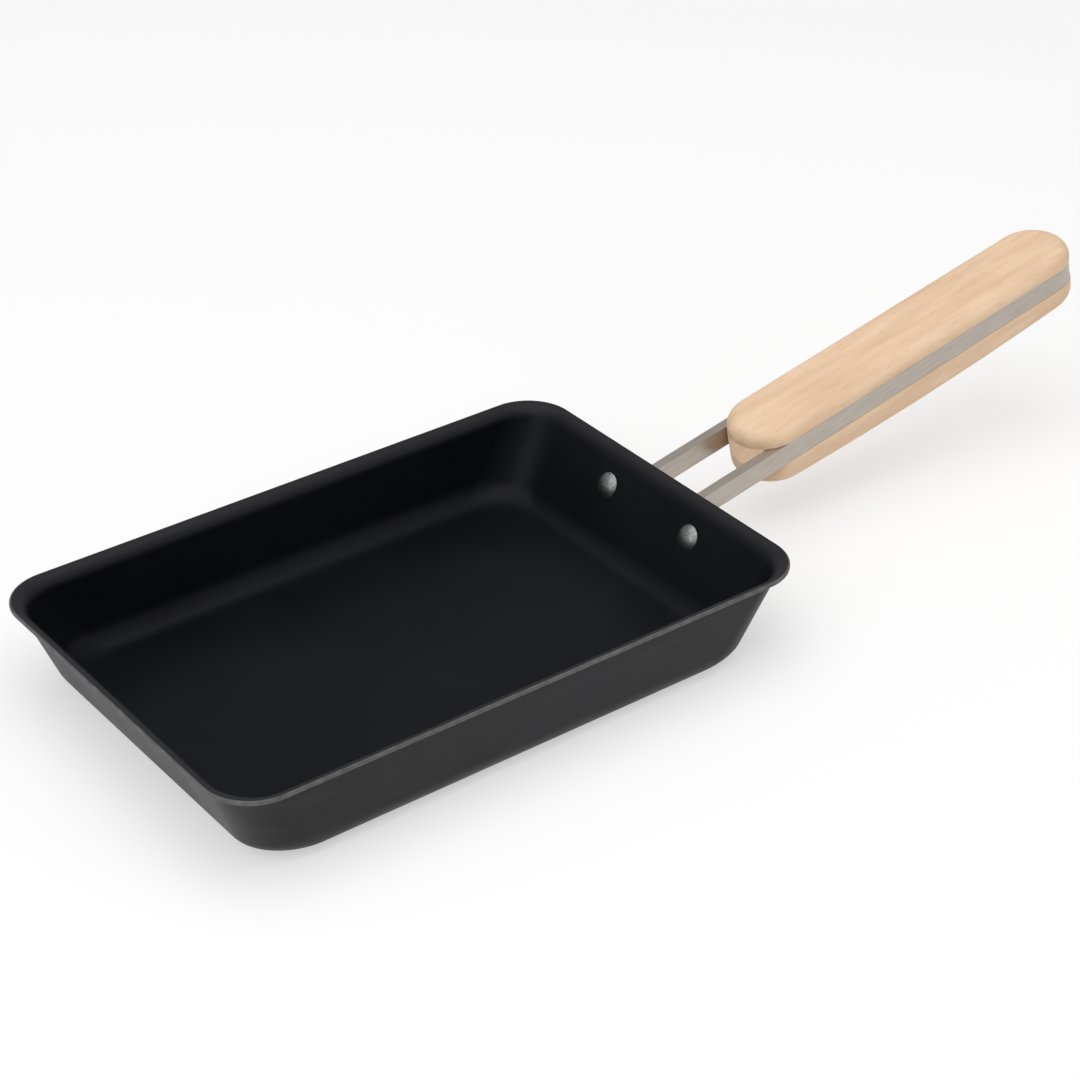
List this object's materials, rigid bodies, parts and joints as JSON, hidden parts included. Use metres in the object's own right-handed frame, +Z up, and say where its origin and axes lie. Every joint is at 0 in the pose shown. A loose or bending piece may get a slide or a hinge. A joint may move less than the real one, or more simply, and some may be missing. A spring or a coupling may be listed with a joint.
{
  "type": "tamagoyaki pan",
  "caption": "Rectangular iron rolled-omelette pan with an out-turned rim, a riveted steel strap handle and a rounded wooden grip.",
  "frame": {"origin": "centre of the pan's flat bottom, on the surface it stands on", "axes": "+X along the pan towards the handle, +Y to its left, +Z up"},
  "size_m": [0.4007, 0.145, 0.069],
  "materials": {
    "iron": "dark heat-blackened iron, satin",
    "strap_steel": "satin stainless steel",
    "wood": "pale fine-grained wood, lightly oiled",
    "rivet_steel": "grey satin steel",
    "screw_steel": "satin steel"
  },
  "bodies": {
    "root": {"pan_body": "iron", "handle_strap": "strap_steel", "grip": "wood", "rivet_left": "rivet_steel", "rivet_right": "rivet_steel", "grip_screw": "screw_steel"}
  },
  "joints": []
}
